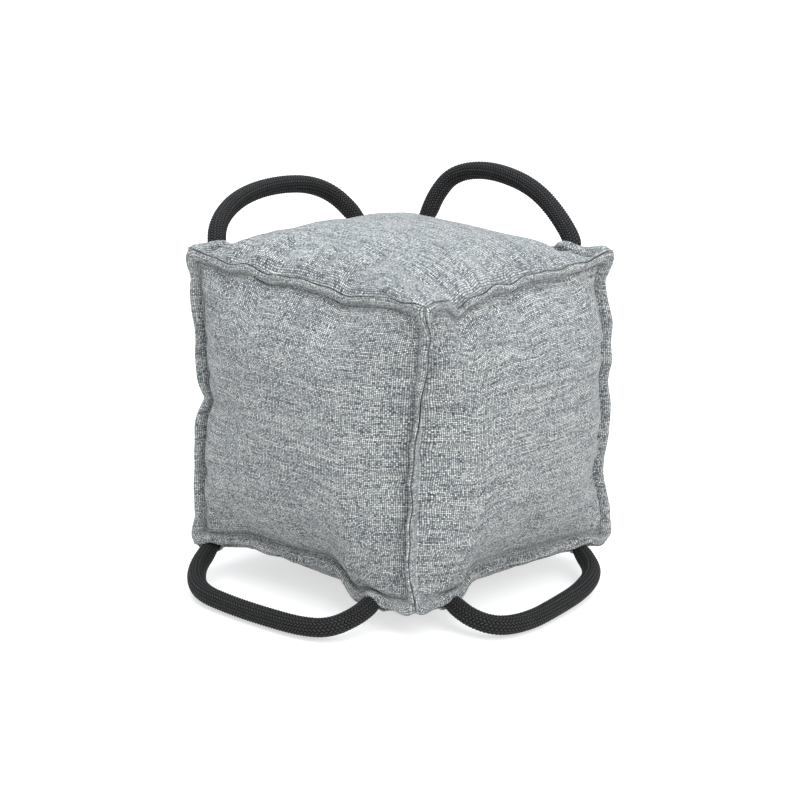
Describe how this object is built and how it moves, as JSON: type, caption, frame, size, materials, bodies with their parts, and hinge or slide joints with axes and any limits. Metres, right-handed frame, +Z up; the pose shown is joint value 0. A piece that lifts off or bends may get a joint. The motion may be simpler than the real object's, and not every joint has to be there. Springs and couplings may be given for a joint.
{
  "type": "training bumper",
  "caption": "Soft stuffed fabric cube with stitched flanges along its edges and short braided rope handles sewn into two top and two bottom edges",
  "frame": {"origin": "on the floor, at the middle of the flat patch of the bottom panel that the cube rests on", "axes": "+Z up; X and Y square to the upright panels; the front panel faces -Y and the right panel faces +X, with the low handles on those two sides and the high ones on the other two"},
  "size_m": [0.2805, 0.2789, 0.2626],
  "materials": {
    "cloth": "coarse plain-woven melange cloth, light and dark grey yarns, slightly fuzzy",
    "fibre_fill": "white polyester fibre",
    "thread": "grey polyester sewing thread",
    "rope": "black twill-braided rope, soft sheen",
    "rope_core": "bundle of white filaments"
  },
  "bodies": {
    "cube": {"front_panel": "cloth", "right_panel": "cloth", "back_panel": "cloth", "left_panel": "cloth", "top_panel": "cloth", "bottom_panel": "cloth", "stuffing": "fibre_fill", "top_front_topstitch": "thread", "top_right_topstitch": "thread", "top_back_topstitch": "thread", "top_left_topstitch": "thread", "bottom_front_topstitch": "thread", "bottom_right_topstitch": "thread", "bottom_back_topstitch": "thread", "bottom_left_topstitch": "thread", "front_right_topstitch": "thread", "right_back_topstitch": "thread", "back_left_topstitch": "thread", "left_front_topstitch": "thread", "front_rope_end_1": "rope", "front_rope_end_2": "rope", "right_rope_end_1": "rope", "right_rope_end_2": "rope", "back_rope_end_1": "rope", "back_rope_end_2": "rope", "left_rope_end_1": "rope", "left_rope_end_2": "rope", "front_handle_bar_tacks": "thread", "right_handle_bar_tacks": "thread", "back_handle_bar_tacks": "thread", "left_handle_bar_tacks": "thread"},
    "front_handle": {"front_handle_sheath": "rope", "front_handle_core": "rope_core"},
    "right_handle": {"right_handle_sheath": "rope", "right_handle_core": "rope_core"},
    "back_handle": {"back_handle_sheath": "rope", "back_handle_core": "rope_core"},
    "left_handle": {"left_handle_sheath": "rope", "left_handle_core": "rope_core"}
  },
  "joints": [
    {"name": "front_handle_swing", "type": "hinge", "parent": "cube", "child": "front_handle", "pos_m": [0, -0.10066, 0.01784], "axis": [-1, 0, 0], "range_deg": [-120, 56], "stiffness_Nm_per_rad": 0.18},
    {"name": "right_handle_swing", "type": "hinge", "parent": "cube", "child": "right_handle", "pos_m": [0.10066, 0, 0.01784], "axis": [0, -1, 0], "range_deg": [-118, 58], "stiffness_Nm_per_rad": 0.18},
    {"name": "back_handle_swing", "type": "hinge", "parent": "cube", "child": "back_handle", "pos_m": [0, 0.10066, 0.22216], "axis": [1, 0, 0], "range_deg": [-103, 73], "stiffness_Nm_per_rad": 0.18},
    {"name": "left_handle_swing", "type": "hinge", "parent": "cube", "child": "left_handle", "pos_m": [-0.10066, 0, 0.22216], "axis": [0, 1, 0], "range_deg": [-88, 88], "stiffness_Nm_per_rad": 0.18}
  ]
}
